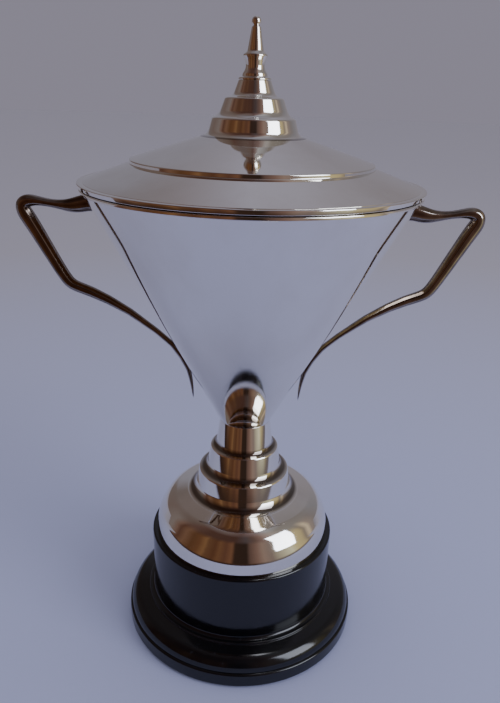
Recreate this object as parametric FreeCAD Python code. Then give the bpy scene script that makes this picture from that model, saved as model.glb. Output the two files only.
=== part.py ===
import FreeCAD, Part
import math
import os

os.makedirs("parts", exist_ok=True)

# Covered presentation cup on a black moulded plinth. Millimetres, +Z up.
# The origin is the middle of the underside, and the handles lie along X.

# Plinth
plinthRadius = 60.0          # foot band of the moulding
drumRadius = 46.9            # at the top of the drum
drumDraft = 0.4              # the drum is this much narrower at its bottom
drumBottom = 19.7
plinthTop = 52.8
feltThickness = 1.2
feltRadius = 57.0
plinthWall = 5.8             # thickness of the plinth's top plate
plinthCavityRadius = 39.0

# Foot and stem
sheet = 1.2                  # spun metal thickness
footRadius = 44.5
footTop = 75.0
stemFootRadius = 28.2        # where the lowest tier spreads on to the foot
tierTops = [87.2, 99.8]      # heights of the two ledges
stemTop = 114.7
stemTopRadius = 12.4

# Bowl: a straight cone
bowlFootRadius = 12.4
bowlTop = 227.0
bowlSlope = 0.542            # gain in radius for each millimetre of height
bowlFloor = 118.0
rimBandHeight = 1.4
rimBandRadius = 73.8

# Lid
lidGap = 0.3                 # the lid's edge stands this far above the mouth
lidRadius = 74.5
lidShellRadius = 72.0        # the spun part of the lid ends inside its edge bead
lidEdgeTop = 229.5
lowerPitch = 0.367           # rise for each millimetre inwards, lower cone
stepRadius = 52.4
stepHeight = 1.6
upperPitch = 0.32            # the same for the upper cone
bezelRadius = 68.9           # locating flange, inside the mouth
bezelWall = 1.2
bezelBottom = 222.5

# Finial
finialRadius = 22.6
finialSeat = 249.0           # flat top of the lid, hidden under the finial
finialTop = 270.2
ballRadius = 1.9
totalHeight = 294.1

# Rods and nuts
tieRodRadius = 3.0
studRadius = 2.4
threadClearance = 0.05
holeClearance = 0.3
washerThickness = 1.2

lidEdgeBottom = bowlTop + lidGap
bowlTopRadius = bowlFootRadius + bowlSlope * (bowlTop - stemTop)
sheetAcross = sheet * math.hypot(1.0, bowlSlope)   # the cone's wall, measured level
stepFoot = lidEdgeTop + lowerPitch * (lidShellRadius - stepRadius)
stepTop = stepFoot + stepHeight
lidCrown = stepTop + upperPitch * (stepRadius - finialRadius)
axis = FreeCAD.Vector(0, 0, 1)
centre = FreeCAD.Vector(0, 0, 0)


def turned(start, *moves):
    """Solid of revolution about Z. A move (r, z) is straight; (r, z, r, z) is an arc by way of a point."""
    edges = []
    here = FreeCAD.Vector(start[0], 0, start[1])
    for move in moves + (start,):
        there = FreeCAD.Vector(move[-2], 0, move[-1])
        if len(move) == 4:
            middle = FreeCAD.Vector(move[0], 0, move[1])
            edges.append(Part.Arc(here, middle, there).toShape())
        elif there.distanceToPoint(here) > 1e-6:
            edges.append(Part.LineSegment(here, there).toShape())
        here = there
    return Part.Face(Part.Wire(edges)).revolve(centre, axis, 360)


def rod(radius, bottom, top):
    return Part.makeCylinder(radius, top - bottom, FreeCAD.Vector(0, 0, bottom), axis)


def hexNut(acrossFlats, boreRadius, bottom, top):
    corner = acrossFlats / math.sqrt(3)
    corners = []
    for side in range(7):
        angle = math.radians(60 * side)
        corners.append(FreeCAD.Vector(corner * math.cos(angle), corner * math.sin(angle), bottom))
    prism = Part.Face(Part.makePolygon(corners)).extrude(FreeCAD.Vector(0, 0, top - bottom))
    return prism.cut(rod(boreRadius, bottom - 1, top + 1))


def save(name, shape):
    solid = shape.Solids[0]
    if len(shape.Solids) != 1 or not solid.isValid():
        raise ValueError(name + " is not one valid solid")
    solid.exportStep("parts/" + name + ".step")
    print(name, round(solid.Volume / 1000, 2), "cm3")


def bowlRadius(height):
    """Outer radius of the cone at a height."""
    return bowlFootRadius + bowlSlope * (height - stemTop)


def lowerCone(radius):
    """Height of the top of the lid's lower cone at a radius."""
    return lidEdgeTop + lowerPitch * (lidShellRadius - radius)


def upperCone(radius):
    """Height of the top of the lid's upper cone at a radius."""
    return stepTop + upperPitch * (stepRadius - radius)


def makePlinth():
    """Moulded plinth: a flat foot band, a groove, a round torus, a cove and a drum, hollow underneath."""
    drumFoot = drumRadius - drumDraft
    cavityTop = plinthTop - plinthWall
    bottom = feltThickness
    body = turned(
        (tieRodRadius + holeClearance, plinthTop),
        (drumRadius - 1.0, plinthTop),
        (drumRadius - 0.3, plinthTop - 0.3, drumRadius, plinthTop - 1.0),
        (drumFoot, drumBottom),
        (drumFoot + 0.5, drumBottom - 1.6, drumFoot + 1.7, drumBottom - 2.2),
        (drumFoot + 2.4, drumBottom - 2.6, drumFoot + 2.7, drumBottom - 3.3),
        (53.2, 15.4),
        (57.3, 13.7, 59.0, 9.6),
        (58.7, 8.6),
        (plinthRadius - 0.3, 7.9),
        (plinthRadius, 7.2),
        (plinthRadius, bottom + 0.8),
        (plinthRadius - 0.8, bottom),
        (plinthCavityRadius + 2.0, bottom),
        (plinthCavityRadius, cavityTop - 3.0),
        (plinthCavityRadius - 0.9, cavityTop - 0.9, plinthCavityRadius - 3.0, cavityTop),
        (tieRodRadius + holeClearance, cavityTop),
    )
    return body


def makeFoot():
    """Spun foot: a steep round-shouldered band under a gently sloping top, with a hole for the rod."""
    hole = tieRodRadius + holeClearance
    return turned(
        (hole, footTop),
        (stemFootRadius, footTop),
        (34.6, 72.9),
        (37.4, 71.6, 39.2, 69.4),
        (43.2, 61.4, footRadius, plinthTop),
        (footRadius - sheet, plinthTop),
        (43.2 - sheet, 61.1, 38.1, 68.8),
        (36.7, 70.6, 34.2, 71.7),
        (stemFootRadius - 0.2, footTop - sheet),
        (hole, footTop - sheet),
    )


def makeStem():
    """Spun stem of three tiers: each wall spreads in a cove at its foot and ends in a rounded ledge."""
    ledgeLow, ledgeHigh = tierTops
    return turned(
        (stemFootRadius, footTop),
        (25.3, 77.0, 23.6, 80.8),
        (22.7, ledgeLow - 0.7),
        (22.5, ledgeLow - 0.1, 22.0, ledgeLow + 0.15),
        (20.4, ledgeLow + 1.5),
        (18.5, ledgeLow + 3.6, 17.75, ledgeLow + 6.4),
        (16.95, ledgeHigh - 0.7),
        (16.8, ledgeHigh - 0.1, 16.3, ledgeHigh + 0.15),
        (15.4, ledgeHigh + 0.9),
        (14.1, ledgeHigh + 2.5, 13.6, ledgeHigh + 4.9),
        (stemTopRadius, stemTop - 1.4),
        (stemTopRadius + 0.2, stemTop - 0.7, stemTopRadius, stemTop),
        (stemTopRadius - 1.5, stemTop),
        (12.0, ledgeHigh + 4.6),
        (13.0, ledgeHigh + 0.6),
        (15.5, ledgeHigh - 1.2),
        (16.0, ledgeLow + 6.0),
        (17.4, ledgeLow + 1.9),
        (21.2, ledgeLow - 1.2),
        (22.0, 80.0),
        (25.6, footTop),
    )


def makeBowl():
    """Conical bowl with a flat floor. The outside is a straight cone from the stem to the mouth."""
    return turned(
        (0, stemTop),
        (bowlFootRadius - 0.4, stemTop),
        (bowlRadius(stemTop + 0.7), stemTop + 0.7),
        (bowlTopRadius, bowlTop),
        (bowlTopRadius - sheetAcross, bowlTop),
        (bowlRadius(bowlFloor) - sheetAcross, bowlFloor),
        (0, bowlFloor),
    )


def makeRimBand():
    """Half-round ring moulding soldered round the outside of the mouth."""
    bottom = bowlTop - rimBandHeight
    middle = bowlTop - rimBandHeight / 2
    return turned(
        (bowlRadius(bottom), bottom),
        (rimBandRadius - 0.5, bottom),
        (rimBandRadius, middle, rimBandRadius - 0.4, bowlTop),
        (bowlTopRadius, bowlTop),
    )


def makeBowlBoss():
    """Threaded boss soldered under the bowl's floor, inside the top of the stem."""
    bottom = stemTop - 10.0
    boss = rod(8.0, bottom, stemTop)
    return boss.cut(rod(tieRodRadius + threadClearance, bottom - 1, stemTop - 2.0))


# Centre line of the right handle in the XZ plane: x, z, half the bar's width in that plane,
# half its depth in Y. It leaves the mouth, turns down at a knuckle, turns in at an elbow,
# follows the cone down, touches it and ends in a free point.
handleStations = [
    (66.0, 218.6, 3.6, 3.4),
    (72.5, 218.2, 3.7, 3.5),
    (76.0, 217.4, 3.7, 3.6),
    (79.5, 216.8, 3.1, 3.4),
    (84.0, 217.0, 2.0, 3.0),
    (89.0, 217.6, 1.55, 2.8),
    (94.0, 218.4, 1.8, 3.0),
    (98.2, 218.6, 2.7, 3.2),
    (101.2, 217.6, 3.4, 3.3),
    (100.6, 214.6, 3.5, 3.3),
    (97.6, 208.8, 3.2, 3.2),
    (91.6, 197.6, 2.9, 3.0),
    (86.0, 187.0, 2.6, 2.9),
    (82.6, 181.4, 2.6, 2.8),
    (79.4, 179.8, 2.4, 2.7),
    (72.7, 177.3, 2.3, 2.6),
    (65.2, 173.8, 2.0, 2.4),
    (55.3, 168.1, 1.55, 2.1),
    (42.9, 158.9, 1.2, 1.8),
    (35.6, 152.4, 1.2, 1.7),
    (30.9, 145.9, 1.25, 1.6),
    (27.9, 139.6, 1.1, 1.4),
    (26.3, 132.4, 0.75, 1.0),
    (25.7, 124.0, 0.2, 0.25),
]
edgeShare = 0.5              # thickness of the bar's edges as a share of its depth at the ridge


def handleSection(before, here, after):
    """Six-sided section of the bar, with a ridge front and back, square to the centre line at one station."""
    x, z, halfWidth, halfDepth = here
    run = FreeCAD.Vector(after[0] - before[0], 0, after[1] - before[1]).normalize()
    across = FreeCAD.Vector(run.z, 0, -run.x)
    middle = FreeCAD.Vector(x, 0, z)
    corners = []
    for widthShare, depthShare in ((1, edgeShare), (0, 1), (-1, edgeShare),
                                   (-1, -edgeShare), (0, -1), (1, -edgeShare)):
        depth = FreeCAD.Vector(0, halfDepth * depthShare, 0)
        corners.append(middle + across * (halfWidth * widthShare) + depth)
    return Part.makePolygon(corners + corners[:1])


def makeHandle(side):
    """One cast handle; side is 1 for the one on +X and -1 for the one on -X."""
    sections = []
    for number, here in enumerate(handleStations):
        before = handleStations[max(number - 1, 0)]
        after = handleStations[min(number + 1, len(handleStations) - 1)]
        sections.append(handleSection(before, here, after))
    bar = Part.makeLoft(sections, True, True)
    cone = turned((0, stemTop), (bowlFootRadius, stemTop), (bowlTopRadius, bowlTop), (0, bowlTop))
    bar = bar.cut(cone)
    if side < 0:
        bar = bar.mirror(centre, FreeCAD.Vector(1, 0, 0))
    return bar


def makeLidShell():
    """Spun lid: a lower cone, a small upright step and an upper cone with a flat seat in the middle."""
    hole = studRadius + holeClearance
    under = sheet + 0.08
    return turned(
        (hole, finialSeat),
        (18.8, finialSeat),
        (finialRadius, lidCrown),
        (stepRadius - 0.3, stepTop + 0.1),
        (stepRadius, stepTop, stepRadius, stepTop - 0.4),
        (stepRadius, stepFoot),
        (lidShellRadius, lidEdgeTop),
        (lidShellRadius, lidEdgeTop - under),
        (stepRadius - sheet, lowerCone(stepRadius - sheet) - under),
        (stepRadius - sheet, upperCone(stepRadius - sheet) - under),
        (18.6, finialSeat - sheet),
        (hole, finialSeat - sheet),
    )


def makeLidBead():
    """Rounded edge moulding of the lid. It overhangs the band round the bowl's mouth."""
    return turned(
        (lidShellRadius, lidEdgeBottom),
        (lidRadius - 1.0, lidEdgeBottom),
        (lidRadius, lidEdgeBottom + 1.2, lidRadius - 0.8, lidEdgeTop - 0.25),
        (lidShellRadius, lidEdgeTop),
    )


def makeLidBezel():
    """Locating flange soldered under the lid, a loose fit in the mouth."""
    under = sheet + 0.08
    inside = bezelRadius - bezelWall
    return turned(
        (inside, bezelBottom),
        (bezelRadius, bezelBottom),
        (bezelRadius, lowerCone(bezelRadius) - under),
        (inside, lowerCone(inside) - under),
    )


def makeFinialTiers():
    """Hollow base of the finial: three tiers shaped like those of the stem, closed by a drilled top."""
    hole = studRadius + holeClearance
    return turned(
        (finialRadius, lidCrown),
        (20.7, 248.9, 19.6, 250.6),
        (18.6, 254.7),
        (18.4, 255.3, 17.8, 255.5),
        (16.2, 256.1),
        (14.0, 257.2, 13.1, 259.0),
        (12.3, 262.7),
        (12.1, 263.25, 11.5, 263.45),
        (9.6, 264.1),
        (8.6, 264.9, 8.2, 266.2),
        (7.05, finialTop - 0.4),
        (6.9, finialTop),
        (hole, finialTop),
        (hole, finialTop - 1.5),
        (6.0, finialTop - 1.5),
        (7.0, 264.0),
        (7.8, 262.2),
        (11.2, 261.6),
        (12.2, 257.4),
        (14.6, 254.6),
        (17.4, 253.6),
        (18.6, finialSeat + 0.6),
        (19.4, upperCone(19.4)),
    )


def makeFinialSpire():
    """Turned spire: flange, waist, sharp collar, long taper and a small ball."""
    ballMiddle = totalHeight - ballRadius
    ballJoin = 1.35
    joinHeight = ballMiddle - math.sqrt(ballRadius ** 2 - ballJoin ** 2)
    bore = studRadius + threadClearance
    return turned(
        (bore, finialTop),
        (6.6, finialTop),
        (6.9, finialTop + 0.5, 6.6, finialTop + 1.0),
        (5.4, 271.6),
        (5.2, 272.6),
        (3.95, 274.8, 3.9, 276.2),
        (4.2, 278.2, 5.1, 279.4),
        (5.15, 279.7, 4.9, 279.95),
        (3.4, 281.2),
        (1.9, 290.2),
        (ballJoin, joinHeight),
        (ballRadius, ballMiddle, 0, totalHeight),
        (0, 274.0),
        (bore, 273.0),
    )


tieNutBottom = plinthTop - plinthWall - washerThickness - 5.0
tieWasherTop = plinthTop - plinthWall
studWasherTop = finialSeat - sheet
studNutBottom = studWasherTop - washerThickness - 4.0

save("plinth", makePlinth())
save("plinth_felt", rod(feltRadius, 0, feltThickness))
save("foot_dome", makeFoot())
save("stem_tiers", makeStem())
save("bowl_shell", makeBowl())
save("bowl_rim_band", makeRimBand())
save("bowl_boss", makeBowlBoss())
save("handle_left", makeHandle(-1))
save("handle_right", makeHandle(1))
save("tie_rod", rod(tieRodRadius, tieNutBottom - 2.0, stemTop - 2.5))
washerBore = rod(tieRodRadius + holeClearance, tieWasherTop - 5, tieWasherTop + 5)
save("tie_washer", rod(10.0, tieWasherTop - washerThickness, tieWasherTop).cut(washerBore))
tieThread = tieRodRadius + threadClearance
save("tie_nut", hexNut(10.0, tieThread, tieNutBottom, tieWasherTop - washerThickness))
save("lid_shell", makeLidShell())
save("lid_edge_bead", makeLidBead())
save("lid_bezel", makeLidBezel())
save("finial_tiers", makeFinialTiers())
save("finial_spire", makeFinialSpire())
save("finial_stud", rod(studRadius, studNutBottom - 1.5, 272.8))
washerBore = rod(studRadius + holeClearance, studWasherTop - 5, studWasherTop + 5)
save("finial_washer", rod(7.0, studWasherTop - washerThickness, studWasherTop).cut(washerBore))
studThread = studRadius + threadClearance
save("finial_nut", hexNut(8.0, studThread, studNutBottom, studWasherTop - washerThickness))
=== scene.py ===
import math

import bpy
from mathutils import Matrix, Vector


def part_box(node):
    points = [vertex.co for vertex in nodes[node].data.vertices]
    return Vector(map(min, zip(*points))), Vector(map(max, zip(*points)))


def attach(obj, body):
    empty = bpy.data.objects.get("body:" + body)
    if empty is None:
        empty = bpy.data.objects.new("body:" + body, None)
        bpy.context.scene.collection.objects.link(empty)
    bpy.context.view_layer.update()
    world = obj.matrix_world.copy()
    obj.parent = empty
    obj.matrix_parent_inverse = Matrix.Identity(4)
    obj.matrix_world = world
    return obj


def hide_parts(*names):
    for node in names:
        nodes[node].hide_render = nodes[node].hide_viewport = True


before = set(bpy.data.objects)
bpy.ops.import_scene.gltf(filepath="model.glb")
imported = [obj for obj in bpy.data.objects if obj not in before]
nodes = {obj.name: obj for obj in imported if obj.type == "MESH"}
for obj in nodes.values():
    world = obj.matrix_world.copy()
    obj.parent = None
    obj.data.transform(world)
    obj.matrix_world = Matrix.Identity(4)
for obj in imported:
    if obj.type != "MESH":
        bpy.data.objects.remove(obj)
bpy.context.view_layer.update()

mm = 0.001
origin = (0, 0, 0)


def deselectAll():
    if bpy.context.mode != "OBJECT":
        bpy.ops.object.mode_set(mode="OBJECT")
    bpy.ops.object.select_all(action="DESELECT")


def selectOnly(piece):
    deselectAll()
    piece.select_set(True)
    bpy.context.view_layer.objects.active = piece


# Selects the vertices of a piece for which test(place) holds, and leaves it in edit mode
def pickVertices(piece, test):
    bpy.ops.object.mode_set(mode="OBJECT")
    for edge in piece.data.edges:
        edge.select = False
    for face in piece.data.polygons:
        face.select = False
    for vertex in piece.data.vertices:
        vertex.select = test(vertex.co)
    bpy.ops.object.mode_set(mode="EDIT")


# Adds a modifier with its settings and applies it
def addModifier(piece, kind, **settings):
    selectOnly(piece)
    modifier = piece.modifiers.new(kind.title(), kind)
    for name, value in settings.items():
        setattr(modifier, name, value)
    bpy.ops.object.modifier_apply(modifier=modifier.name)


# Smooth shading that stays crisp at real corners, with flat stretches left flat
def smoothPiece(piece, angle=32):
    selectOnly(piece)
    bpy.ops.object.shade_smooth_by_angle(angle=math.radians(angle))
    addModifier(piece, "WEIGHTED_NORMAL", keep_sharp=True, weight=60)


# Turns an outline round Z. Each point is radius, height and, where its corner is rounded, how far
def spunPiece(name, outline, steps=192):
    deselectAll()
    bpy.ops.mesh.primitive_plane_add(size=mm, location=origin)
    piece = bpy.context.object
    piece.name = name
    bpy.ops.object.mode_set(mode="EDIT")
    bpy.ops.mesh.select_mode(type="VERT")
    bpy.ops.mesh.select_all(action="SELECT")
    bpy.ops.mesh.merge(type="CENTER")
    start = outline[0]
    bpy.ops.transform.translate(value=(start[0] * mm, 0, start[1] * mm))
    here = start
    for point in outline[1:]:
        step = ((point[0] - here[0]) * mm, 0, (point[1] - here[1]) * mm)
        bpy.ops.mesh.extrude_vertices_move(TRANSFORM_OT_translate={"value": step})
        here = point
    ends = [Vector((point[0] * mm, 0, point[1] * mm)) for point in (start, here)]
    pickVertices(piece, lambda place: min((place - end).length for end in ends) < 1e-7)
    bpy.ops.mesh.edge_face_add()
    for point in outline:
        if len(point) == 3:
            corner = Vector((point[0] * mm, 0, point[1] * mm))
            pickVertices(piece, lambda place: (place - corner).length < 1e-6)
            segments = max(3, min(10, round(point[2] * 3)))
            bpy.ops.mesh.bevel(offset=point[2] * mm, segments=segments, affect="VERTICES")
    bpy.ops.mesh.select_all(action="SELECT")
    bpy.ops.mesh.spin(steps=steps, angle=math.tau, center=origin, axis=(0, 0, 1))
    bpy.ops.mesh.select_all(action="SELECT")
    bpy.ops.mesh.remove_doubles(threshold=1e-6)
    bpy.ops.mesh.normals_make_consistent(inside=False)
    smoothPiece(piece)
    return piece


# Material, record slot (not used), body and the CAD nodes that a finished piece stands for
def finishPiece(piece, material, slot, body, *replaced):
    piece.data.materials.clear()
    piece.data.materials.append(material)
    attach(piece, body)
    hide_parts(*replaced)


# Lowest and highest corner of a CAD node, in millimetres, as are all sizes of the cup below
def span(node):
    low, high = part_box(node)
    return [value / mm for value in low], [value / mm for value in high]


plinthTop = span("plinth")[1][2]
stemBottom, stemTop = span("stem_tiers")[0][2], span("stem_tiers")[1][2]
bowlTop = span("bowl_shell")[1][2]
lidEdge = span("lid_edge_bead")
lidSeat = span("lid_shell")[1][2]
finialTop = span("finial_tiers")[1][2]
cupTop = span("finial_spire")[1][2]


# sRGB hex to the linear colour that nodes take
def hexColour(text, alpha=1.0):
    channels = [int(text[i:i + 2], 16) / 255 for i in (1, 3, 5)]
    linear = [c / 12.92 if c <= 0.04045 else ((c + 0.055) / 1.055) ** 2.4 for c in channels]
    return (*linear, alpha)


# Adds a node, sets its properties, fills its sockets with values or links, and places a ramp's colours.
# A ramp's stops are a position and a hex colour or a grey level
def addNode(tree, kind, settings=None, inputs=None, stops=None):
    node = tree.nodes.new(kind)
    for name, value in (settings or {}).items():
        setattr(node, name, value)
    for socket, value in (inputs or {}).items():
        if isinstance(value, bpy.types.NodeSocket):
            tree.links.new(value, node.inputs[socket])
        else:
            node.inputs[socket].default_value = value
    for number, (position, colour) in enumerate(stops or []):
        elements = node.color_ramp.elements
        element = elements.new(position) if number > 1 else elements[number]
        element.position = position
        element.color = hexColour(colour) if isinstance(colour, str) else (colour, colour, colour, 1)
    return node


def newMaterial(name):
    material = bpy.data.materials.new(name)
    material.use_nodes = True
    tree = material.node_tree
    tree.nodes.clear()
    return material, tree


# Radius, angle and height of a point, so that a pattern can run round a turned piece
def turnedCoordinates(tree):
    place = addNode(tree, "ShaderNodeTexCoord").outputs["Object"]
    parts = addNode(tree, "ShaderNodeSeparateXYZ", inputs={0: place})
    across, deep, height = parts.outputs[0], parts.outputs[1], parts.outputs[2]
    flat = addNode(tree, "ShaderNodeCombineXYZ", inputs={0: across, 1: deep})
    radius = addNode(tree, "ShaderNodeVectorMath", {"operation": "LENGTH"}, {0: flat.outputs[0]})
    angle = addNode(tree, "ShaderNodeMath", {"operation": "ARCTAN2"}, {0: deep, 1: across})
    return place, radius.outputs["Value"], angle.outputs[0], height


silverSet = {
    "bright": "#f3f0e9",       # clean silver plate, a little warm
    "tarnished": "#d6ccba",    # thin yellow-brown tarnish
    "tarnish": 0.35,           # how far the tarnish goes where it is thickest
    "lineSpacing": 0.55,       # polishing lines, drawn coarser than real ones so that they show
    "lineDepth": 0.2,          # in millimetres, like the spacing
    "clean": 0.02,             # roughness of a clean mirror polish
    "hazed": 0.085,            # roughness where polish residue and fine wear dull it
    "cornerShadeColour": "#54453a",      # painted shade, dark brown, in the corners between parts
    "cornerShadeStrength": 0.85,       # how far the painted shade covers the silver in corners
    "coveShadeStrength": 0.85,          # the same painted shade in rings above the ledges of the stem
    "coveShadeWidth": 3.4,
    "scratches": 0.22,         # what a hairline scratch adds to the haze
    "cloud": 29,               # size of the hazy patches, in millimetres
}


# Electroplated silver on brass, spun and mirror polished: a sharp mirror with fine lines round the
# axis, a haze of hairline wear and faint warm tarnish, with painted shade in corners and in rings that
# start at the heights given
def makeSilver(name, coveShadeHeights=()):
    s = silverSet
    material, tree = newMaterial(name)
    place, radius, angle, height = turnedCoordinates(tree)
    fine = 1 / (s["lineSpacing"] * mm)
    across = addNode(tree, "ShaderNodeMath", {"operation": "MULTIPLY"}, {0: radius, 1: fine})
    along = addNode(tree, "ShaderNodeMath", {"operation": "MULTIPLY"}, {0: height, 1: fine})
    around = addNode(tree, "ShaderNodeMath", {"operation": "MULTIPLY"}, {0: angle, 1: 1.6})
    lineSpace = addNode(tree, "ShaderNodeCombineXYZ",
                        inputs={0: across.outputs[0], 1: along.outputs[0], 2: around.outputs[0]})
    lines = addNode(tree, "ShaderNodeTexNoise",
                    inputs={"Vector": lineSpace.outputs[0], "Scale": 1.0, "Detail": 3.0, "Roughness": 0.6})
    wiped = addNode(tree, "ShaderNodeMapping", inputs={0: place, "Scale": (1.0, 1.0, 0.35)})
    clouds = addNode(tree, "ShaderNodeTexNoise",
                     inputs={"Vector": wiped.outputs[0], "Scale": 1 / (s["cloud"] * mm), "Detail": 5.0,
                             "Roughness": 0.62})
    scratchSpace = addNode(tree, "ShaderNodeMapping",
                           inputs={0: place, "Rotation": (0.5, 0.9, 0.3), "Scale": (900.0, 60.0, 60.0)})
    scratches = addNode(tree, "ShaderNodeTexNoise",
                        inputs={"Vector": scratchSpace.outputs[0], "Scale": 1.0, "Detail": 2.0})
    scratchMask = addNode(tree, "ShaderNodeValToRGB", inputs={"Fac": scratches.outputs["Fac"]},
                          stops=[(0.60, 0.0), (0.70, 1.0)])
    hazeMask = addNode(tree, "ShaderNodeValToRGB", inputs={"Fac": clouds.outputs["Fac"]},
                       stops=[(0.34, 0.0), (0.70, 1.0)])
    tarnishMask = addNode(tree, "ShaderNodeValToRGB", inputs={"Fac": clouds.outputs["Fac"]},
                          stops=[(0.42, 0.0), (0.78, s["tarnish"])])
    worn = addNode(tree, "ShaderNodeMath", {"operation": "MULTIPLY_ADD"},
                   {0: scratchMask.outputs[0], 1: s["scratches"], 2: hazeMask.outputs[0]})
    roughness = addNode(tree, "ShaderNodeMapRange", {"clamp": True},
                        {"Value": worn.outputs[0], "To Min": s["clean"], "To Max": s["hazed"]})
    colour = addNode(tree, "ShaderNodeMix", {"data_type": "RGBA"},
                     {"Factor": tarnishMask.outputs[0], 6: hexColour(s["bright"]),
                      7: hexColour(s["tarnished"])})
    # Painted shade: a dark ring starting at each height given, over the cove at the foot of each wall
    for coveShadeFoot in coveShadeHeights:
        share = addNode(tree, "ShaderNodeMapRange",
                        inputs={"Value": height, "From Min": coveShadeFoot * mm,
                                "From Max": (coveShadeFoot + s["coveShadeWidth"]) * mm})
        ring = addNode(tree, "ShaderNodeValToRGB", inputs={"Fac": share.outputs[0]},
                       stops=[(0.0, 0.0), (0.2, s["coveShadeStrength"]), (0.5, s["coveShadeStrength"]), (1.0, 0.0)])
        colour = addNode(tree, "ShaderNodeMix", {"data_type": "RGBA"},
                         {"Factor": ring.outputs[0], 6: colour.outputs[2], 7: hexColour(s["cornerShadeColour"])})
    # Painted shade: concave corners, found by pointiness, are darkened towards the shade colour
    corner = addNode(tree, "ShaderNodeNewGeometry").outputs["Pointiness"]
    cornerShadeMask = addNode(tree, "ShaderNodeValToRGB", inputs={"Fac": corner},
                          stops=[(0.40, s["cornerShadeStrength"]), (0.485, 0.0)])
    toned = addNode(tree, "ShaderNodeMix", {"data_type": "RGBA"},
                    {"Factor": cornerShadeMask.outputs[0], 6: colour.outputs[2], 7: hexColour(s["cornerShadeColour"])})
    lineBump = addNode(tree, "ShaderNodeBump",
                       inputs={"Height": lines.outputs["Fac"], "Strength": 0.02,
                               "Distance": s["lineDepth"] * mm})
    shader = addNode(tree, "ShaderNodeBsdfPrincipled",
                     inputs={"Base Color": toned.outputs[2], "Metallic": 1.0,
                             "Roughness": roughness.outputs[0], "Normal": lineBump.outputs[0]})
    addNode(tree, "ShaderNodeOutputMaterial", inputs={"Surface": shader.outputs[0]})
    return material


castSet = {
    "toned": "#86766a",        # silver sulphide, warm grey-brown, where nobody rubs it
    "deep": "#4f4136",         # the same, thicker, in patches
    "rubbed": "#f0ece4",       # bare silver along the edges that hands and cloths reach, and a painted highlight along them
    "smooth": 0.06,            # roughness between the patches
    "dull": 0.17,              # roughness in the patches
    "patch": 8,                # size of the toned patches
    "grain": 0.8,              # the casting's skin, drawn coarser than the real one
}


# Plated casting, polished by hand: toned brown on its faces, bright along its edges as rubbed silver and
# a painted highlight, with a slightly uneven skin that ripples reflections
def makeCastSilver():
    s = castSet
    material, tree = newMaterial("tonedCastSilver")
    place = addNode(tree, "ShaderNodeTexCoord").outputs["Object"]
    patches = addNode(tree, "ShaderNodeTexNoise",
                      inputs={"Vector": place, "Scale": 1 / (s["patch"] * mm), "Detail": 5.0,
                             "Roughness": 0.65})
    tone = addNode(tree, "ShaderNodeValToRGB", inputs={"Fac": patches.outputs["Fac"]},
                   stops=[(0.36, s["toned"]), (0.68, s["deep"])])
    ridge = addNode(tree, "ShaderNodeNewGeometry").outputs["Pointiness"]
    # Painted highlight along the convex edges, together with the rubbed bare silver there
    edges = addNode(tree, "ShaderNodeValToRGB", inputs={"Fac": ridge}, stops=[(0.50, 0.0), (0.60, 0.85)])
    colour = addNode(tree, "ShaderNodeMix", {"data_type": "RGBA"},
                     {"Factor": edges.outputs[0], 6: tone.outputs[0], 7: hexColour(s["rubbed"])})
    roughness = addNode(tree, "ShaderNodeValToRGB", inputs={"Fac": patches.outputs["Fac"]},
                        stops=[(0.3, s["smooth"]), (0.7, s["dull"])])
    skin = addNode(tree, "ShaderNodeTexNoise",
                   inputs={"Vector": place, "Scale": 1 / (s["grain"] * mm), "Detail": 2.0})
    bump = addNode(tree, "ShaderNodeBump",
                   inputs={"Height": skin.outputs["Fac"], "Strength": 0.05, "Distance": 0.2 * mm})
    shader = addNode(tree, "ShaderNodeBsdfPrincipled",
                     inputs={"Base Color": colour.outputs[2], "Metallic": 1.0,
                             "Roughness": roughness.outputs[0], "Normal": bump.outputs[0]})
    addNode(tree, "ShaderNodeOutputMaterial", inputs={"Surface": shader.outputs[0]})
    return material


phenolicSet = {
    "colour": "#090a0d",
    "dust": "#2b2e36",
    "polished": 0.06,          # roughness where it still has its buffed gloss
    "rubbed": 0.20,            # roughness where handling has dulled it
    "patch": 24,               # size of the rubbed patches
    "flow": 6,                 # ripples left by the moulding
    "speck": 1.6,              # dust, drawn coarser than the real one so that it shows
}


# Black phenolic moulding, pressed and buffed: deep gloss, slightly rubbed, with a little dust
def makePhenolic():
    s = phenolicSet
    material, tree = newMaterial("buffedBlackPhenolic")
    place = addNode(tree, "ShaderNodeTexCoord").outputs["Object"]
    rubbed = addNode(tree, "ShaderNodeTexNoise",
                     inputs={"Vector": place, "Scale": 1 / (s["patch"] * mm), "Detail": 6.0,
                             "Roughness": 0.65})
    roughness = addNode(tree, "ShaderNodeValToRGB", inputs={"Fac": rubbed.outputs["Fac"]},
                        stops=[(0.32, s["polished"]), (0.72, s["rubbed"])])
    dust = addNode(tree, "ShaderNodeTexNoise",
                   inputs={"Vector": place, "Scale": 1 / (s["speck"] * mm), "Detail": 2.0})
    dustMask = addNode(tree, "ShaderNodeValToRGB", inputs={"Fac": dust.outputs["Fac"]},
                       stops=[(0.66, 0.0), (0.76, 0.35)])
    colour = addNode(tree, "ShaderNodeMix", {"data_type": "RGBA"},
                     {"Factor": dustMask.outputs[0], 6: hexColour(s["colour"]), 7: hexColour(s["dust"])})
    flow = addNode(tree, "ShaderNodeTexNoise",
                   inputs={"Vector": place, "Scale": 1 / (s["flow"] * mm), "Detail": 2.0})
    bump = addNode(tree, "ShaderNodeBump",
                   inputs={"Height": flow.outputs["Fac"], "Strength": 0.04, "Distance": 0.4 * mm})
    shader = addNode(tree, "ShaderNodeBsdfPrincipled",
                     inputs={"Base Color": colour.outputs[2], "Roughness": roughness.outputs[0], "IOR": 1.55,
                             "Normal": bump.outputs[0]})
    addNode(tree, "ShaderNodeOutputMaterial", inputs={"Surface": shader.outputs[0]})
    return material


baizeSet = {"deep": "#0c1a14", "nap": "#1f3a2c", "fibre": 0.5}   # fibres coarser than real ones, to show


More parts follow.
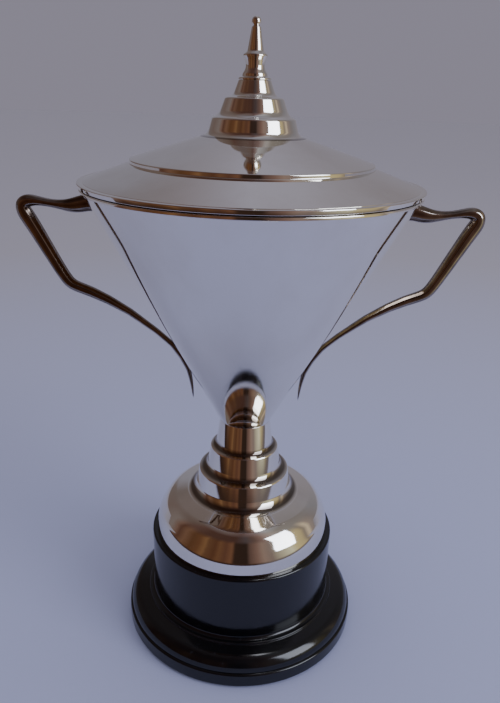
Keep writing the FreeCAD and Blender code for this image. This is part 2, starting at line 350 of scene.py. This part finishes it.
# Pressed wool baize, dark green: matt, with short tangled fibres
def makeBaize():
    s = baizeSet
    material, tree = newMaterial("pressedGreenBaize")
    place = addNode(tree, "ShaderNodeTexCoord").outputs["Object"]
    fibres = addNode(tree, "ShaderNodeTexNoise",
                     inputs={"Vector": place, "Scale": 1 / (s["fibre"] * mm), "Detail": 5.0,
                             "Roughness": 0.75})
    colour = addNode(tree, "ShaderNodeValToRGB", inputs={"Fac": fibres.outputs["Fac"]},
                     stops=[(0.3, s["deep"]), (0.7, s["nap"])])
    bump = addNode(tree, "ShaderNodeBump",
                   inputs={"Height": fibres.outputs["Fac"], "Strength": 0.7, "Distance": 0.3 * mm})
    shader = addNode(tree, "ShaderNodeBsdfPrincipled",
                     inputs={"Base Color": colour.outputs[0], "Roughness": 0.95, "Sheen Weight": 0.4,
                             "Normal": bump.outputs[0]})
    addNode(tree, "ShaderNodeOutputMaterial", inputs={"Surface": shader.outputs[0]})
    return material


# The fixings inside the cup: colour, darker colour and roughness of each metal
fixingSet = {
    "turnedBrass": ("#c9a45c", "#8f6d33", 0.25),
    "zincPlatedSteel": ("#a9abad", "#77797c", 0.35),
    "ring": 5,                 # spacing of the turning rings, drawn coarser than real ones
    "patch": 4,
}


# Turned bar stock, left as machined: rings round the axis and dull patches
def makeFixingMetal(name):
    s = fixingSet
    light, dark, smooth = s[name]
    material, tree = newMaterial(name)
    place = addNode(tree, "ShaderNodeTexCoord").outputs["Object"]
    height = addNode(tree, "ShaderNodeSeparateXYZ", inputs={0: place}).outputs["Z"]
    pitch = math.tau / (s["ring"] * mm)
    rings = addNode(tree, "ShaderNodeMath", {"operation": "MULTIPLY"}, {0: height, 1: pitch})
    wave = addNode(tree, "ShaderNodeMath", {"operation": "SINE"}, {0: rings.outputs[0]})
    patches = addNode(tree, "ShaderNodeTexNoise",
                      inputs={"Vector": place, "Scale": 1 / (s["patch"] * mm), "Detail": 4.0})
    colour = addNode(tree, "ShaderNodeValToRGB", inputs={"Fac": patches.outputs["Fac"]},
                     stops=[(0.35, dark), (0.65, light)])
    roughness = addNode(tree, "ShaderNodeValToRGB", inputs={"Fac": patches.outputs["Fac"]},
                        stops=[(0.3, smooth), (0.7, smooth + 0.2)])
    bump = addNode(tree, "ShaderNodeBump",
                   inputs={"Height": wave.outputs[0], "Strength": 0.15, "Distance": 0.1 * mm})
    shader = addNode(tree, "ShaderNodeBsdfPrincipled",
                     inputs={"Base Color": colour.outputs[0], "Metallic": 1.0,
                             "Roughness": roughness.outputs[0], "Normal": bump.outputs[0]})
    addNode(tree, "ShaderNodeOutputMaterial", inputs={"Surface": shader.outputs[0]})
    return material


spunSilver = makeSilver("polishedSilverPlate")
castSilver = makeCastSilver()
phenolic = makePhenolic()
baize = makeBaize()
turnedBrass = makeFixingMetal("turnedBrass")
zincSteel = makeFixingMetal("zincPlatedSteel")
print("materials made")


plinthSet = {
    "radius": 59.98, "bandTop": 7.9, "groove": 58.5, "torus": 59.0, "torusTop": 15.0,
    "cove": 46.5, "coveHeight": 17.4, "bead": 49.3, "drum": 46.88, "cavity": 39.0, "hole": 3.3,
}


# Foot band, groove, torus, bead, cove and drum, hollow underneath
def makePlinth():
    s = plinthSet
    bottom = span("plinth")[0][2]
    cavityTop = plinthTop - 5.8
    piece = spunPiece("blackPlinth", [
        (s["hole"], plinthTop),
        (s["drum"], plinthTop, 1.0),
        (s["cove"], s["coveHeight"], 1.9),
        (s["bead"], s["coveHeight"], 0.55),
        (s["bead"], s["torusTop"] + 1.35, 0.3),
        (s["torus"], s["torusTop"] - 0.9, 5.2),
        (s["torus"], s["bandTop"] + 1.0, 0.3),
        (s["groove"], s["bandTop"] + 0.5, 0.25),
        (s["radius"], s["bandTop"], 0.6),
        (s["radius"], bottom, 0.8),
        (s["cavity"] + 2, bottom, 0.4),
        (s["cavity"], cavityTop, 3.0),
        (s["hole"], cavityTop),
    ], steps=256)
    finishPiece(piece, phenolic, "black_plinth", "cup", "plinth")


def makeFelt():
    low, high = span("plinth_felt")
    piece = spunPiece("baizeBase", [(0, high[2]), (high[0], high[2]), (high[0], low[2], 0.3), (0, low[2])],
                      steps=128)
    finishPiece(piece, baize, "baize", "cup", "plinth_felt")


footSet = {"radius": 44.45, "waist": (43.7, 62.0), "shoulder": (37.9, 71.55), "sheet": 1.2, "hole": 3.3}


# Spun foot with a steep rounded band, a soft shoulder and a gently sloping top
def makeFoot():
    s = footSet
    sheet = s["sheet"]
    (waistR, waistZ), (shoulderR, shoulderZ) = s["waist"], s["shoulder"]
    edge = span("stem_tiers")[1][0]
    piece = spunPiece("domedFoot", [
        (s["hole"], stemBottom),
        (edge, stemBottom, 0.6),
        (shoulderR, shoulderZ, 4.0),
        (waistR, waistZ, 3.6),
        (s["radius"], plinthTop, 0.35),
        (s["radius"] - sheet, plinthTop),
        (waistR - sheet, waistZ - 0.3, 3.4),
        (shoulderR - sheet, shoulderZ - sheet, 3.6),
        (edge, stemBottom - sheet, 0.6),
        (s["hole"], stemBottom - sheet),
    ], steps=256)
    finishPiece(piece, spunSilver, "silver_plate", "cup", "foot_dome")


stemSet = {
    "walls": [(24.2, 22.64), (18.45, 16.93), (14.1, 12.4)],   # foot and top radius of each tier's wall
    "ledges": [87.35, 99.95],   # height of each tier's edge
    "coves": [4.2, 2.3, 1.6],   # how far the corner at the foot of each wall is rounded
    "edge": 0.6,                # how far each edge is rounded
}


# Three tiers. Each wall rises from a cove and ends in a rounded edge and a narrow sloping ledge
def makeStem():
    s = stemSet
    foot = span("stem_tiers")[1][0]
    (low, lowTop), (middle, middleTop), (high, highTop) = s["walls"]
    ledgeLow, ledgeHigh = s["ledges"]
    piece = spunPiece("steppedStem", [
        (foot, stemBottom),
        (low, stemBottom + 0.9, s["coves"][0]),
        (lowTop, ledgeLow, s["edge"]),
        (middle, ledgeLow + 1.5, s["coves"][1]),
        (middleTop, ledgeHigh, s["edge"]),
        (high, ledgeHigh + 1.1, s["coves"][2]),
        (highTop, stemTop, 0.1),
        (highTop - 1.5, stemTop),
        (12.0, ledgeHigh + 4.6),
        (13.0, ledgeHigh + 0.6),
        (15.5, ledgeHigh - 1.2),
        (16.0, ledgeLow + 6.0),
        (17.4, ledgeLow + 1.9),
        (21.2, ledgeLow - 1.2),
        (22.0, 80.0),
        (25.6, stemBottom),
    ], steps=192)
    # the stem's silver gets rings of painted shade at the foot of each tier
    silver = makeSilver("groovedSilverPlate", [stemBottom, ledgeLow, ledgeHigh])
    finishPiece(piece, silver, "silver_plate", "cup", "stem_tiers")


bowlSet = {"foot": 12.4, "slope": 0.542, "wall": 1.365, "floor": 118.0, "bandDrop": 1.4, "bandOut": 0.5}


def coneRadius(height):
    return bowlSet["foot"] + bowlSet["slope"] * (height - stemTop)


# Straight conical bowl with a flat floor and a softened mouth
def makeBowl():
    s = bowlSet
    mouth = coneRadius(bowlTop)
    piece = spunPiece("conicalBowl", [
        (0, stemTop),
        (s["foot"], stemTop, 0.12),
        (mouth, bowlTop, 0.25),
        (mouth - s["wall"], bowlTop, 0.4),
        (coneRadius(s["floor"]) - s["wall"], s["floor"], 1.6),
        (0, s["floor"]),
    ], steps=256)
    finishPiece(piece, spunSilver, "silver_plate", "cup", "bowl_shell")


# Half-round wire soldered round the mouth
def makeRimBand():
    s = bowlSet
    bottom, top = bowlTop - s["bandDrop"], bowlTop - 0.03
    inner, outer = coneRadius(bottom) - 0.4, coneRadius(bowlTop) + s["bandOut"]
    piece = spunPiece("rimBand", [
        (inner, bottom),
        (outer - 0.1, bottom, 0.3),
        (outer, bottom + 0.7, 0.3),
        (outer - 0.15, top, 0.35),
        (inner, top),
    ], steps=256)
    finishPiece(piece, spunSilver, "silver_plate", "cup", "bowl_rim_band")


# Centre line of the right handle: x, z, half width across the line, half depth in Y, in millimetres
handleStations = [
    (67.0, 218.5, 3.6, 3.4),
    (72.5, 218.2, 3.7, 3.5),
    (76.0, 217.4, 3.6, 3.6),
    (79.5, 216.8, 3.0, 3.4),
    (84.0, 217.0, 2.0, 3.0),
    (89.0, 217.6, 1.55, 2.8),
    (94.0, 218.4, 1.9, 3.0),
    (97.0, 218.6, 2.5, 3.15),
    (99.3, 218.2, 3.0, 3.25),
    (100.7, 217.0, 3.2, 3.3),
    (101.0, 215.0, 3.05, 3.3),
    (99.9, 212.6, 3.3, 3.3),
    (97.6, 208.8, 3.2, 3.2),
    (91.6, 197.6, 2.9, 3.0),
    (86.0, 187.0, 2.6, 2.9),
    (82.6, 181.4, 2.6, 2.8),
    (79.4, 179.8, 2.4, 2.7),
    (72.7, 177.3, 2.3, 2.6),
    (65.2, 173.8, 2.0, 2.4),
    (55.3, 168.1, 1.55, 2.1),
    (42.9, 158.9, 1.2, 1.8),
    (35.6, 152.4, 1.2, 1.7),
    (30.9, 145.9, 1.25, 1.6),
    (27.9, 139.6, 1.1, 1.4),
    (26.3, 132.4, 0.75, 1.0),
    (25.7, 124.2, 0.2, 0.25),
]
handleSet = {
    "sides": 8,
    "flatness": 0.88,          # share of the half depth that the flat-fronted section keeps
    "crease": 0.72,            # how sharp its lengthwise edges stay
    "smooth": 50,              # degrees between faces that still shade as one
}
sectionCorner = math.pi / handleSet["sides"]   # half the angle between two corners of the section
sectionReach = math.cos(sectionCorner)


def turnRing(angle, middle):
    bpy.ops.transform.rotate(value=angle, orient_axis="Y", center_override=middle)


# Firms up the eight edges that run along a handle, so that its facets survive the subdivision
def creaseLengthwise(piece):
    selectOnly(piece)
    first, second = (handleStations[number][0] * mm for number in (0, 1))
    pickVertices(piece, lambda place: False)
    bpy.ops.object.mode_set(mode="OBJECT")
    places = [vertex.co for vertex in piece.data.vertices]
    for edge in piece.data.edges:
        a, b = (places[number].x for number in edge.vertices)
        edge.select = abs(a - b) > (second - first) / 2 and max(a, b) < second + 1.5 * mm
    bpy.ops.object.mode_set(mode="EDIT")
    bpy.ops.mesh.select_mode(type="EDGE")
    bpy.ops.mesh.loop_multi_select(ring=False)
    bpy.ops.transform.edge_crease(value=handleSet["crease"])
    bpy.ops.mesh.select_mode(type="VERT")


# Cuts off a handle's upper end inside the thickness of the bowl's wall
def endInWall(piece):
    height = handleStations[0][1]
    wallMiddle = coneRadius(height) - bowlSet["wall"] / 2
    selectOnly(piece)
    bpy.ops.object.mode_set(mode="EDIT")
    bpy.ops.mesh.select_all(action="SELECT")
    bpy.ops.mesh.bisect(plane_co=(wallMiddle * mm, 0, height * mm), plane_no=(1, 0, -bowlSet["slope"]),
                        use_fill=True, clear_inner=True)
    bpy.ops.object.mode_set(mode="OBJECT")


# The right handle is extruded ring by ring along its line, then copied and mirrored for the left
def makeHandles():
    deselectAll()
    bpy.ops.mesh.primitive_circle_add(vertices=handleSet["sides"], radius=mm, fill_type="NGON",
                                      location=origin)
    right = bpy.context.object
    right.name = "handleRight"
    bpy.ops.object.mode_set(mode="EDIT")
    bpy.ops.mesh.select_all(action="SELECT")
    bpy.ops.transform.rotate(value=sectionCorner, orient_axis="Z", center_override=origin)
    width, depth, angle, middle = mm * sectionReach, mm * sectionReach, 0.0, Vector(origin)
    for number, station in enumerate(handleStations):
        before = handleStations[max(number - 1, 0)]
        after = handleStations[min(number + 1, len(handleStations) - 1)]
        newAngle = math.atan2(after[0] - before[0], after[1] - before[1])
        place = Vector((station[0] * mm, 0, station[1] * mm))
        newWidth, newDepth = station[2] * mm, station[3] * handleSet["flatness"] * mm
        move = {"value": place - middle}
        if number:
            bpy.ops.mesh.extrude_region_move(TRANSFORM_OT_translate=move)
        else:
            bpy.ops.transform.translate(**move)
        turnRing(angle, place)
        bpy.ops.transform.resize(value=(newWidth / width, newDepth / depth, 1), center_override=place)
        turnRing(-newAngle, place)
        width, depth, angle, middle = newWidth, newDepth, newAngle, place
    bpy.ops.mesh.select_all(action="SELECT")
    bpy.ops.mesh.normals_make_consistent(inside=False)
    creaseLengthwise(right)
    addModifier(right, "SUBSURF", levels=2, render_levels=2)
    endInWall(right)
    selectOnly(right)
    bpy.ops.object.duplicate()
    left = bpy.context.object
    left.name = "handleLeft"
    bpy.ops.object.mode_set(mode="EDIT")
    bpy.ops.mesh.select_all(action="SELECT")
    bpy.ops.transform.resize(value=(-1, 1, 1), center_override=origin)
    bpy.ops.mesh.remove_doubles(threshold=1e-7)
    bpy.ops.mesh.normals_make_consistent(inside=False)
    for piece, node in ((right, "handle_right"), (left, "handle_left")):
        smoothPiece(piece, angle=handleSet["smooth"])
        finishPiece(piece, castSilver, "silver_plate", "cup", node)


lidSet = {
    "shell": 72.0, "edgeTop": 229.5, "lowerPitch": 0.367, "upperPitch": 0.32,
    "step": 52.4, "stepHeight": 1.6, "sheet": 1.28, "hole": 2.7,
}


def lowerCone(radius):
    return lidSet["edgeTop"] + lidSet["lowerPitch"] * (lidSet["shell"] - radius)


def upperCone(radius):
    s = lidSet
    return lowerCone(s["step"]) + s["stepHeight"] + s["upperPitch"] * (s["step"] - radius)


# Two shallow cones with a small upright step between them, and a flat seat for the finial
def makeLidShell():
    s = lidSet
    inner = s["step"] - 1.2
    seatRim = span("finial_tiers")[1][0]
    piece = spunPiece("lidShell", [
        (s["hole"], lidSeat),
        (18.8, lidSeat, 0.8),
        (seatRim, upperCone(seatRim)),
        (s["step"], upperCone(s["step"]), 0.4),
        (s["step"], lowerCone(s["step"]), 0.35),
        (s["shell"], s["edgeTop"]),
        (s["shell"], s["edgeTop"] - s["sheet"]),
        (inner, lowerCone(inner) - s["sheet"], 0.4),
        (inner, upperCone(inner) - s["sheet"], 0.4),
        (18.6, lidSeat - 1.2, 0.8),
        (s["hole"], lidSeat - 1.2),
    ], steps=256)
    finishPiece(piece, spunSilver, "silver_plate", "lid", "lid_shell")


# Edge moulding: an upright band that leans out a little, with a rounded crest
def makeLidBead():
    s = lidSet
    outer, bottom, top = lidEdge[1][0], lidEdge[0][2], lidEdge[1][2]
    piece = spunPiece("lidEdgeBead", [
        (s["shell"] - 0.6, bottom + 0.3),
        (s["shell"] + 0.2, bottom, 0.2),
        (outer - 0.75, bottom, 0.35),
        (outer, top - 0.2, 0.55),
        (outer - 1.5, top, 0.3),
        (s["shell"] - 0.6, top - 0.1),
    ], steps=256)
    finishPiece(piece, spunSilver, "silver_plate", "lid", "lid_edge_bead")


# Locating flange under the lid
def makeBezel():
    outer, bottom = span("lid_bezel")[1][0], span("lid_bezel")[0][2]
    inner = outer - 1.2
    under = lidSet["sheet"] - 0.2
    piece = spunPiece("lidBezel", [
        (inner, bottom, 0.3),
        (outer, bottom, 0.3),
        (outer, lowerCone(outer) - under),
        (inner, lowerCone(inner) - under),
    ], steps=256)
    finishPiece(piece, spunSilver, "silver_plate", "lid", "lid_bezel")


finialSet = {
    "walls": [(19.6, 17.7), (14.8, 12.3), (9.0, 6.8)],   # foot and top radius of each tier's wall
    "ledges": [255.45, 263.45],    # height of each tier's edge
    "coves": [2.4, 1.8, 1.4],
    "edge": 0.6,
}


# Three hollow tiers shaped like those of the stem
def makeFinialTiers():
    s = finialSet
    foot = span("finial_tiers")[1][0]
    (low, lowTop), (middle, middleTop), (high, highTop) = s["walls"]
    ledgeLow, ledgeHigh = s["ledges"]
    seat = upperCone(foot)
    piece = spunPiece("steppedFinial", [
        (foot, seat),
        (low, seat + 0.5, s["coves"][0]),
        (lowTop, ledgeLow, s["edge"]),
        (middle, ledgeLow + 1.3, s["coves"][1]),
        (middleTop, ledgeHigh, s["edge"]),
        (high, ledgeHigh + 0.8, s["coves"][2]),
        (highTop, finialTop, 0.25),
        (lidSet["hole"], finialTop),
        (lidSet["hole"], finialTop - 1.5),
        (5.6, finialTop - 1.5),
        (7.0, 265.5),
        (7.4, 262.2),
        (10.8, 261.8),
        (12.6, 257.4),
        (13.4, 254.6),
        (16.2, 253.8),
        (17.8, 249.7),
        (19.4, upperCone(19.4)),
    ], steps=192)
    finishPiece(piece, spunSilver, "silver_plate", "lid", "finial_tiers")


spireSet = {"flange": 6.85, "waist": 3.9, "collar": 5.15, "taperFoot": 3.4, "taperTop": 1.85, "ball": 1.9}


# Flange, waist, sharp collar, long taper and a small ball, turned from one bar
def makeSpire():
    s = spireSet
    ballFoot = cupTop - 2 * s["ball"]
    piece = spunPiece("finialSpire", [
        (0, 274.0),
        (2.45, 273.0),
        (2.45, finialTop),
        (s["flange"], finialTop, 0.3),
        (s["flange"], finialTop + 1.0, 0.45),
        (5.35, 271.5, 0.3),
        (5.2, 272.7, 0.35),
        (s["waist"], 274.7, 1.1),
        (s["waist"], 277.2, 1.4),
        (s["collar"], 279.4, 0.2),
        (s["collar"] - 0.2, 280.0, 0.2),
        (s["taperFoot"], 281.2, 0.5),
        (s["taperTop"], ballFoot - 0.2, 0.15),
        (s["taperTop"] - 0.55, ballFoot + 0.2, 0.15),
        (s["ball"], ballFoot + 0.75, 0.6),
        (s["ball"], cupTop, 1.85),
        (0, cupTop),
    ], steps=96)
    finishPiece(piece, spunSilver, "silver_plate", "lid", "finial_spire")


makePlinth()
makeFelt()
print("plinth made")
makeFoot()
makeStem()
print("foot and stem made")
makeBowl()
makeRimBand()
makeHandles()
print("bowl and handles made")
makeLidShell()
makeLidBead()
makeBezel()
makeFinialTiers()
makeSpire()
print("lid and finial made")

fixings = {
    "bowl_boss": turnedBrass, "finial_stud": turnedBrass, "finial_washer": turnedBrass,
    "finial_nut": turnedBrass, "tie_rod": zincSteel, "tie_washer": zincSteel, "tie_nut": zincSteel,
}
for name, material in fixings.items():
    for slot in nodes[name].material_slots:
        slot.material = material
print("hidden fixings finished")


studioSet = {
    "clothNear": "#9496b2",    # pale lavender ground round the cup
    "clothFar": "#959099",     # further off it turns greyer
    "backdrop": "#8a8694",     # what lies behind the ground
    "ambient": "#f2f4ff",      # soft light from all round
    "ambientStrength": 1.0,
    "floorSize": 8.0,          # sizes of the studio are in metres
    "clothMiddle": (-0.01, 0.16),   # the cloth that the silver sees is round: its middle and radius
    "clothRadius": 0.352,
    "edge": 0.006,             # half the soft width of the cloth's edge
    "boardsEnd": 0.06,         # how far behind the cup the boards reach
    "weave": 1.1,              # the cloth's texture in millimetres, coarser than the real one
}
# The boards beyond the cloth as the silver sees them, a painted reflection, by degrees to the right of the
# front
boardColours = [(-180, "#30211b"), (16, "#382821"), (34, "#69605f"), (180, "#6c6568")]
# The room as the silver sees it, by degrees to the right of the front: level with the cup, and overhead
roomLevel = [
    (-180, "#8f8c9a"), (-158, "#868490"), (-150, "#6c6261"), (-126, "#6a5c59"), (-104, "#746a68"),
    (-94, "#6f574e"), (-88, "#543a30"), (-78, "#6c5040"), (-66, "#573b29"), (-56, "#60412d"),
    (-48, "#76563c"), (-44, "#5f4330"), (-34, "#543728"), (-28, "#664733"), (-20, "#583b2e"),
    (-12, "#6b4a38"), (-8, "#33251f"), (7, "#30241f"), (11, "#5a4640"), (20, "#755c54"),
    (28, "#8a756c"), (38, "#80716c"), (64, "#d6d2b4"), (72, "#c8b98a"), (84, "#b8a880"),
    (91, "#857a72"), (98, "#cdbba2"), (104, "#8f827c"), (116, "#7d7677"), (132, "#7f7d84"),
    (156, "#8a858d"), (180, "#8f8c9a"),
]
roomHigh = [
    (-180, "#9e9cad"), (-154, "#756b6b"), (-100, "#62544f"), (-84, "#5a443f"), (-60, "#4c362f"),
    (-10, "#46312c"), (8, "#4d4345"), (22, "#604c47"), (34, "#7d655f"), (46, "#9c8a86"),
    (58, "#a49a96"), (80, "#888380"), (130, "#7d7777"), (160, "#9a97a4"), (180, "#9e9cad"),
]
roomTop = [
    (-180, "#888693"), (-100, "#675d5f"), (-40, "#685a58"), (0, "#5f4c4b"), (30, "#7a6869"), (50, "#8c8286"),
    (66, "#a8a8b0"), (90, "#98979e"), (130, "#8a8892"), (180, "#888693"),
]


# A colour that depends only on the direction round the cup's axis
def directionColour(tree, direction, colours):
    parts = addNode(tree, "ShaderNodeSeparateXYZ", inputs={0: direction})
    front = addNode(tree, "ShaderNodeMath", {"operation": "MULTIPLY"}, {0: parts.outputs[1], 1: -1.0})
    turn = addNode(tree, "ShaderNodeMath", {"operation": "ARCTAN2"},
                   {0: parts.outputs[0], 1: front.outputs[0]})
    share = addNode(tree, "ShaderNodeMapRange",
                    inputs={"Value": turn.outputs[0], "From Min": -math.pi, "From Max": math.pi})
    stops = [((degrees + 180) / 360, colour) for degrees, colour in colours]
    return addNode(tree, "ShaderNodeValToRGB", inputs={"Fac": share.outputs[0]}, stops=stops).outputs[0]


# Pale plain surroundings for the eye, soft even light, and for the silver a room with warm walls
def makeWorld():
    s = studioSet
    world = bpy.data.worlds.new("studio")
    bpy.context.scene.world = world
    world.use_nodes = True
    tree = world.node_tree
    tree.nodes.clear()
    direction = addNode(tree, "ShaderNodeTexCoord").outputs["Generated"]
    level = directionColour(tree, direction, roomLevel)
    high = directionColour(tree, direction, roomHigh)
    top = directionColour(tree, direction, roomTop)
    height = addNode(tree, "ShaderNodeSeparateXYZ", inputs={0: direction}).outputs["Z"]
    raised = addNode(tree, "ShaderNodeValToRGB", inputs={"Fac": height}, stops=[(0.45, 0.0), (0.70, 1.0)])
    overhead = addNode(tree, "ShaderNodeValToRGB", inputs={"Fac": height}, stops=[(0.86, 0.0), (0.95, 1.0)])
    walls = addNode(tree, "ShaderNodeMix", {"data_type": "RGBA"},
                    {"Factor": raised.outputs[0], 6: level, 7: high})
    room = addNode(tree, "ShaderNodeMix", {"data_type": "RGBA"},
                   {"Factor": overhead.outputs[0], 6: walls.outputs[2], 7: top})
    rays = addNode(tree, "ShaderNodeLightPath")
    seen = addNode(tree, "ShaderNodeMix", {"data_type": "RGBA"},
                   {"Factor": rays.outputs["Is Glossy Ray"], 6: hexColour(s["backdrop"]),
                    7: room.outputs[2]})
    lit = addNode(tree, "ShaderNodeMix", {"data_type": "RGBA"},
                  {"Factor": rays.outputs["Is Diffuse Ray"], 6: seen.outputs[2], 7: hexColour(s["ambient"])})
    light = addNode(tree, "ShaderNodeBackground",
                    inputs={"Color": lit.outputs[2], "Strength": s["ambientStrength"]})
    addNode(tree, "ShaderNodeOutputWorld", inputs={"Surface": light.outputs[0]})


# Pale cloth ground, greyer further off
def makeFloor():
    s = studioSet
    deselectAll()
    bpy.ops.mesh.primitive_circle_add(vertices=96, radius=s["floorSize"], fill_type="NGON", location=origin)
    floor = bpy.context.object
    floor.name = "floor"
    material, tree = newMaterial("paleCloth")
    place = addNode(tree, "ShaderNodeTexCoord").outputs["Object"]
    away = addNode(tree, "ShaderNodeVectorMath", {"operation": "LENGTH"}, {0: place}).outputs["Value"]
    colour = addNode(tree, "ShaderNodeValToRGB", inputs={"Fac": away},
                     stops=[(0.15, s["clothNear"]), (0.9, s["clothFar"])])
    weave = addNode(tree, "ShaderNodeTexNoise",
                    inputs={"Vector": place, "Scale": 1 / (s["weave"] * mm), "Detail": 2.0})
    bump = addNode(tree, "ShaderNodeBump",
                   inputs={"Height": weave.outputs["Fac"], "Strength": 0.15, "Distance": 0.4 * mm})
    shader = addNode(tree, "ShaderNodeBsdfPrincipled",
                     inputs={"Base Color": colour.outputs[0], "Roughness": 0.9, "Specular IOR Level": 0.1,
                             "Normal": bump.outputs[0]})
    addNode(tree, "ShaderNodeOutputMaterial", inputs={"Surface": shader.outputs[0]})
    floor.data.materials.append(material)
    return floor


# Dark boards round the cloth, which only reflections see: a glowing sheet that paints them and the room into
# the reflections
def makeBoards():
    s = studioSet
    radius = s["clothRadius"]
    deselectAll()
    bpy.ops.mesh.primitive_plane_add(size=2 * s["floorSize"], location=origin)
    boards = bpy.context.object
    boards.name = "glowingBoardsReflection"
    bpy.ops.object.mode_set(mode="EDIT")
    bpy.ops.transform.translate(value=(0, s["boardsEnd"] - s["floorSize"], mm))
    bpy.ops.object.mode_set(mode="OBJECT")
    material, tree = newMaterial("glowingBoardsReflection")
    place = addNode(tree, "ShaderNodeTexCoord").outputs["Object"]
    away = addNode(tree, "ShaderNodeVectorMath", {"operation": "DISTANCE"},
                   {0: place, 1: (*s["clothMiddle"], mm)}).outputs["Value"]
    further = addNode(tree, "ShaderNodeValToRGB", inputs={"Fac": away},
                      stops=[(radius + 0.03, 0.0), (radius + 0.12, 1.0)])
    near = directionColour(tree, place, boardColours)
    far = directionColour(tree, place, roomLevel)
    colour = addNode(tree, "ShaderNodeMix", {"data_type": "RGBA"},
                     {"Factor": further.outputs[0], 6: near, 7: far})
    # The sheet glows with these colours, no lamp: a painted reflection
    glow = addNode(tree, "ShaderNodeEmission", inputs={"Color": colour.outputs[2]})
    clear = addNode(tree, "ShaderNodeBsdfTransparent")
    outside = addNode(tree, "ShaderNodeValToRGB", inputs={"Fac": away},
                      stops=[(radius - s["edge"], 0.0), (radius + s["edge"], 1.0)])
    shader = addNode(tree, "ShaderNodeMixShader",
                     inputs={0: outside.outputs[0], 1: clear.outputs[0], 2: glow.outputs[0]})
    addNode(tree, "ShaderNodeOutputMaterial", inputs={"Surface": shader.outputs[0]})
    boards.data.materials.append(material)
    boards.visible_camera = False
    boards.visible_diffuse = False
    boards.visible_shadow = False
    return boards


windowSet = {
    "right": 58,               # degrees to the right of the front
    "up": 26,
    "away": 1.6,
    "size": (0.85, 1.16),
    "power": 19,
    "colour": "#e4ecff",
}


# A window to the right, a little above the cup, as one soft rectangle of light
def makeLights():
    s = windowSet
    light = bpy.data.lights.new("windowLight", "AREA")
    light.shape = "RECTANGLE"
    light.size, light.size_y = s["size"]
    light.energy = s["power"]
    light.color = hexColour(s["colour"])[:3]
    lamp = bpy.data.objects.new("windowLight", light)
    bpy.context.scene.collection.objects.link(lamp)
    turn, rise = math.radians(s["right"]), math.radians(s["up"])
    toWindow = Vector((math.sin(turn) * math.cos(rise), -math.cos(turn) * math.cos(rise), math.sin(rise)))
    lamp.location = Vector((0, 0, 0.15)) + s["away"] * toWindow
    lamp.rotation_euler = (-toWindow).to_track_quat("-Z", "Y").to_euler()


cameraSet = {
    "back": 0.29454, "height": 0.2658, "pan": 0.005, "tilt": -0.375, "roll": 0.031, "lens": 33.80,
}


# Looks slightly down at the cup from close in front, rolled a little
def makeCamera():
    s = cameraSet
    forward = Vector((math.sin(s["pan"]) * math.cos(s["tilt"]), math.cos(s["pan"]) * math.cos(s["tilt"]),
                      math.sin(s["tilt"])))
    level = Vector((math.cos(s["pan"]), -math.sin(s["pan"]), 0))
    up = level.cross(forward)
    right = math.cos(s["roll"]) * level + math.sin(s["roll"]) * up
    top = math.cos(s["roll"]) * up - math.sin(s["roll"]) * level
    camera = bpy.data.objects.new("camera", bpy.data.cameras.new("camera"))
    bpy.context.scene.collection.objects.link(camera)
    place = Matrix((right, top, -forward)).transposed().to_4x4()
    place.translation = (0, -s["back"], s["height"])
    camera.matrix_world = place
    camera.data.lens = s["lens"]
    camera.data.clip_start = 0.01
    bpy.context.scene.camera = camera


makeWorld()
makeFloor()
makeBoards()
makeLights()
makeCamera()
print("studio made")
